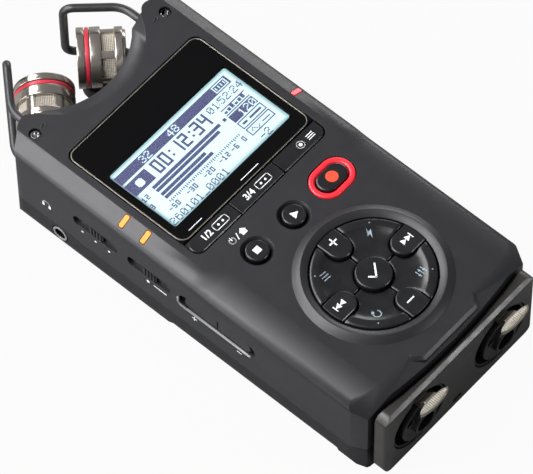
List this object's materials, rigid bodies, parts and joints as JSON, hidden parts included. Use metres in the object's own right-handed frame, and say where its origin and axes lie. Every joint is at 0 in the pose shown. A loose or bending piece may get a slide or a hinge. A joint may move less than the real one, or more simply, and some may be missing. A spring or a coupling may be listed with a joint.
{
  "type": "handheld digital recorder",
  "caption": "Handheld digital recorder with two swivelling microphones behind wire guards, a display, a ringed keypad and two combination input jacks.",
  "frame": {"origin": "centre of the bounding box in plan, on the surface the recorder lies on", "axes": "+X to the right of the face, +Y towards the microphones, +Z out of the face"},
  "size_m": [0.07, 0.1612, 0.0355],
  "materials": {
    "shell": "fine matte dark grey",
    "back": "fine matte grey",
    "gloss": "polished black",
    "lcd": "pale blue display",
    "keys": "satin black",
    "red_lens": "translucent red",
    "amber_lens": "translucent amber",
    "socket": "moulded black",
    "bright": "bright plated",
    "screw": "dark plated",
    "guard": "dark satin",
    "mic_metal": "dark anodised",
    "red_band": "red anodised",
    "mesh": "fine woven",
    "board": "coated laminate",
    "mat": "grey rubber",
    "cell": "printed wrap"
  },
  "bodies": {
    "housing": {"front_shell": "shell", "jack_panel": "shell", "rear_shell": "back", "display_window": "gloss", "lcd_panel": "lcd", "rec_light_ring": "red_lens", "peak_lamp": "red_lens", "track_lamp_a": "amber_lens", "track_lamp_b": "amber_lens", "combo_jack_left": "socket", "combo_jack_right": "socket", "headphone_socket": "socket", "battery_contact_a": "bright", "battery_contact_b": "bright", "card_socket": "bright", "horn_screw_left": "screw", "horn_screw_right": "screw", "guard_left": "guard", "guard_right": "guard", "main_board": "board", "key_mat": "mat", "cell_a": "cell", "cell_b": "cell"},
    "track_key_a": {"track_key_a": "keys"},
    "track_key_b": {"track_key_b": "keys"},
    "mode_key": {"mode_key": "keys"},
    "stop_key": {"stop_key": "keys"},
    "play_key": {"play_key": "keys"},
    "rec_key": {"rec_key": "keys"},
    "centre_key": {"centre_key": "keys"},
    "forward_key": {"forward_key": "keys"},
    "plus_key": {"plus_key": "keys"},
    "back_key": {"back_key": "keys"},
    "minus_key": {"minus_key": "keys"},
    "corner_key_a": {"corner_key_a": "keys"},
    "corner_key_b": {"corner_key_b": "keys"},
    "corner_key_c": {"corner_key_c": "keys"},
    "corner_key_d": {"corner_key_d": "keys"},
    "input_switch": {"input_switch": "keys"},
    "hold_switch": {"hold_switch": "keys"},
    "level_rocker": {"level_rocker": "keys"},
    "latch_left": {"latch_left": "bright"},
    "latch_right": {"latch_right": "bright"},
    "battery_cover": {"battery_cover": "back"},
    "card_door": {"card_door": "back"},
    "mic_left": {"mic_foot_left": "guard", "mic_housing_left": "mic_metal", "mic_red_ring_left": "red_band", "mic_cap_left": "mic_metal", "mic_grille_left": "mesh"},
    "mic_right": {"mic_foot_right": "guard", "mic_housing_right": "mic_metal", "mic_red_ring_right": "red_band", "mic_cap_right": "mic_metal", "mic_grille_right": "mesh"}
  },
  "joints": [
    {"name": "track_key_a_press", "type": "slide", "parent": "housing", "child": "track_key_a", "axis": [0, 0, -1], "range_m": [0, 0.0005], "stiffness_N_per_m": 3000, "springref_m": -0.0002},
    {"name": "track_key_b_press", "type": "slide", "parent": "housing", "child": "track_key_b", "axis": [0, 0, -1], "range_m": [0, 0.0005], "stiffness_N_per_m": 3000, "springref_m": -0.0002},
    {"name": "mode_key_press", "type": "slide", "parent": "housing", "child": "mode_key", "axis": [0, 0, -1], "range_m": [0, 0.0005], "stiffness_N_per_m": 3000, "springref_m": -0.0002},
    {"name": "stop_key_press", "type": "slide", "parent": "housing", "child": "stop_key", "axis": [0, 0, -1], "range_m": [0, 0.0005], "stiffness_N_per_m": 3000, "springref_m": -0.0002},
    {"name": "play_key_press", "type": "slide", "parent": "housing", "child": "play_key", "axis": [0, 0, -1], "range_m": [0, 0.0005], "stiffness_N_per_m": 3000, "springref_m": -0.0002},
    {"name": "rec_key_press", "type": "slide", "parent": "housing", "child": "rec_key", "axis": [0, 0, -1], "range_m": [0, 0.0005], "stiffness_N_per_m": 3000, "springref_m": -0.0002},
    {"name": "centre_key_press", "type": "slide", "parent": "housing", "child": "centre_key", "axis": [0, 0, -1], "range_m": [0, 0.0005], "stiffness_N_per_m": 3000, "springref_m": -0.0002},
    {"name": "forward_key_press", "type": "slide", "parent": "housing", "child": "forward_key", "axis": [0, 0, -1], "range_m": [0, 0.0005], "stiffness_N_per_m": 3000, "springref_m": -0.0002},
    {"name": "plus_key_press", "type": "slide", "parent": "housing", "child": "plus_key", "axis": [0, 0, -1], "range_m": [0, 0.0005], "stiffness_N_per_m": 3000, "springref_m": -0.0002},
    {"name": "back_key_press", "type": "slide", "parent": "housing", "child": "back_key", "axis": [0, 0, -1], "range_m": [0, 0.0005], "stiffness_N_per_m": 3000, "springref_m": -0.0002},
    {"name": "minus_key_press", "type": "slide", "parent": "housing", "child": "minus_key", "axis": [0, 0, -1], "range_m": [0, 0.0005], "stiffness_N_per_m": 3000, "springref_m": -0.0002},
    {"name": "corner_key_a_press", "type": "slide", "parent": "housing", "child": "corner_key_a", "axis": [0, 0, -1], "range_m": [0, 0.0005], "stiffness_N_per_m": 3000, "springref_m": -0.0002},
    {"name": "corner_key_b_press", "type": "slide", "parent": "housing", "child": "corner_key_b", "axis": [0, 0, -1], "range_m": [0, 0.0005], "stiffness_N_per_m": 3000, "springref_m": -0.0002},
    {"name": "corner_key_c_press", "type": "slide", "parent": "housing", "child": "corner_key_c", "axis": [0, 0, -1], "range_m": [0, 0.0005], "stiffness_N_per_m": 3000, "springref_m": -0.0002},
    {"name": "corner_key_d_press", "type": "slide", "parent": "housing", "child": "corner_key_d", "axis": [0, 0, -1], "range_m": [0, 0.0005], "stiffness_N_per_m": 3000, "springref_m": -0.0002},
    {"name": "input_select", "type": "slide", "parent": "housing", "child": "input_switch", "axis": [0, 1, 0], "range_m": [-0.005, 0.005]},
    {"name": "hold_slide", "type": "slide", "parent": "housing", "child": "hold_switch", "axis": [0, 1, 0], "range_m": [-0.005, 0.005]},
    {"name": "level_rock", "type": "hinge", "parent": "housing", "child": "level_rocker", "pos_m": [-0.0327, -0.0192, 0.0213], "axis": [0, 0, 1], "range_deg": [-2, 2], "stiffness_Nm_per_rad": 0.4},
    {"name": "latch_left_press", "type": "slide", "parent": "housing", "child": "latch_left", "axis": [0, 0, -1], "range_m": [0, 0.0012], "stiffness_N_per_m": 2000, "springref_m": -0.0003},
    {"name": "latch_right_press", "type": "slide", "parent": "housing", "child": "latch_right", "axis": [0, 0, -1], "range_m": [0, 0.0012], "stiffness_N_per_m": 2000, "springref_m": -0.0003},
    {"name": "mic_left_swivel", "type": "hinge", "parent": "housing", "child": "mic_left", "pos_m": [-0.01112, 0.06698, 0.0173], "axis": [0, 0, 1], "range_deg": [0, 90]},
    {"name": "mic_right_swivel", "type": "hinge", "parent": "housing", "child": "mic_right", "pos_m": [0.01112, 0.06698, 0.0173], "axis": [0, 0, -1], "range_deg": [0, 90]},
    {"name": "battery_cover_slide", "type": "slide", "parent": "housing", "child": "battery_cover", "axis": [0, -1, 0], "range_m": [0, 0.0032]},
    {"name": "card_door_hinge", "type": "hinge", "parent": "housing", "child": "card_door", "pos_m": [0.03425, 0.00085, 0.018], "axis": [0, 0, -1], "range_deg": [0, 100]}
  ]
}
